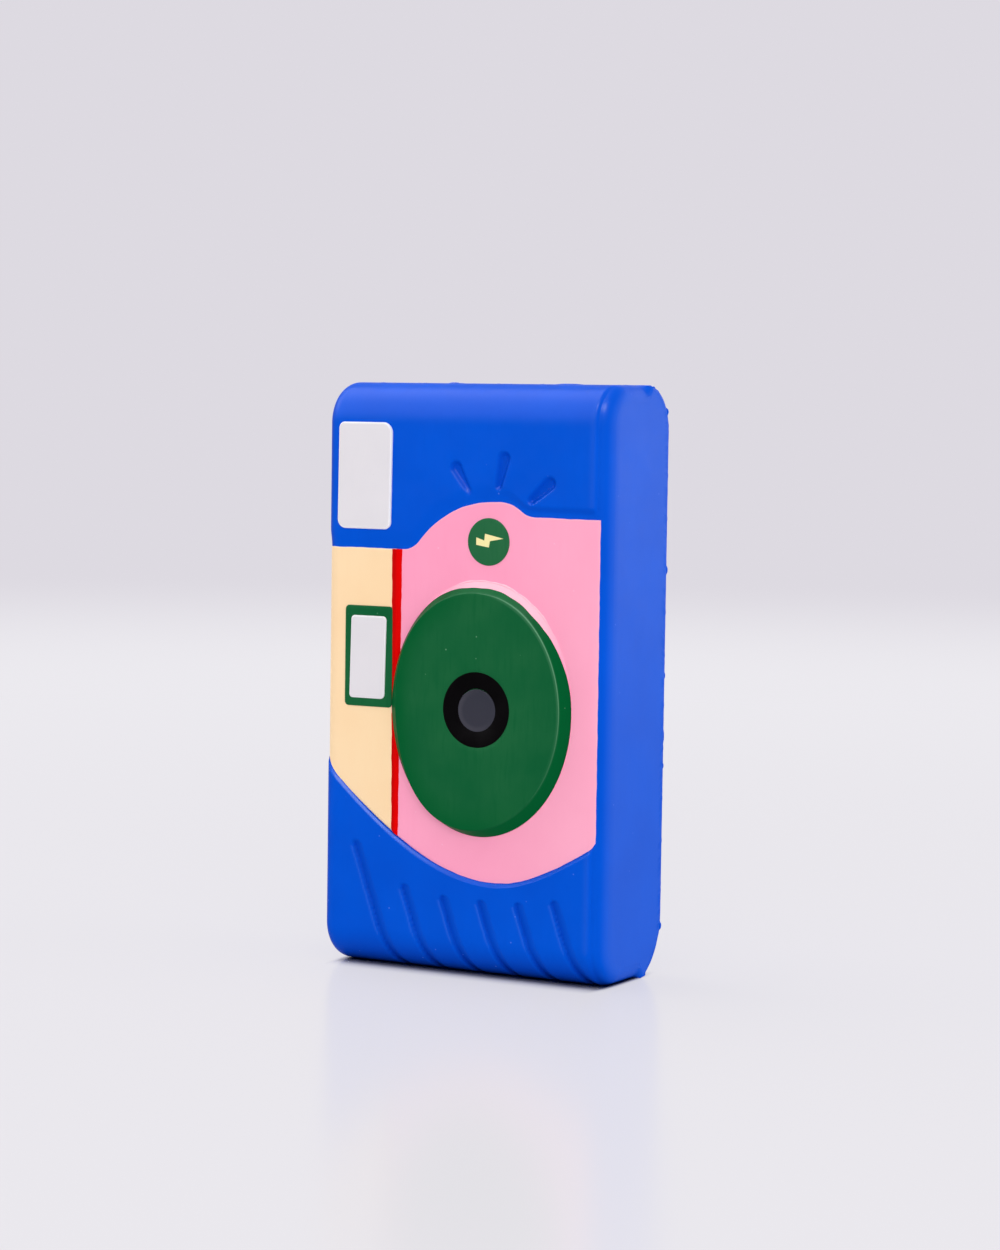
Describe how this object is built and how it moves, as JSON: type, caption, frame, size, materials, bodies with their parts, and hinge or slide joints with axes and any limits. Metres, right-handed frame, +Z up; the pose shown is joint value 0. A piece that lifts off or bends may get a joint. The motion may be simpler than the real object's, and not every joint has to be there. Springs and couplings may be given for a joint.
{
  "type": "camera stress ball",
  "caption": "Soft foam squeeze toy shaped like a single-use film camera, with a raised oval lens, flash and viewfinder panes, colour coats and a grooved grip end.",
  "frame": {"origin": "on the flat grip end that the toy stands on, at the middle of the body in width and depth", "axes": "+Z up along the toy's length, from the grip end to the shutter end; the lens face looks along -Y; +X to the right of someone who looks at the lens"},
  "size_m": [0.059, 0.0256, 0.108],
  "materials": {
    "foam": "open-cell polyurethane foam",
    "blue_skin": "satin in-mould skin",
    "cream_coat": "satin flexible paint",
    "red_coat": "satin flexible paint",
    "pink_coat": "satin flexible paint",
    "green_coat": "satin flexible paint",
    "window_coat": "satin flexible paint",
    "black_coat": "satin flexible paint",
    "pupil_coat": "satin flexible paint"
  },
  "bodies": {
    "root": {"foam_core": "foam", "front_skin": "blue_skin", "back_skin": "blue_skin", "cream_band": "cream_coat", "red_stripe": "red_coat", "pink_panel": "pink_coat", "viewfinder_frame": "green_coat", "viewfinder_window": "window_coat", "flash_window": "window_coat", "flash_badge": "green_coat", "lens_disc": "green_coat", "lens_ring": "black_coat", "lens_pupil": "pupil_coat"}
  },
  "joints": []
}
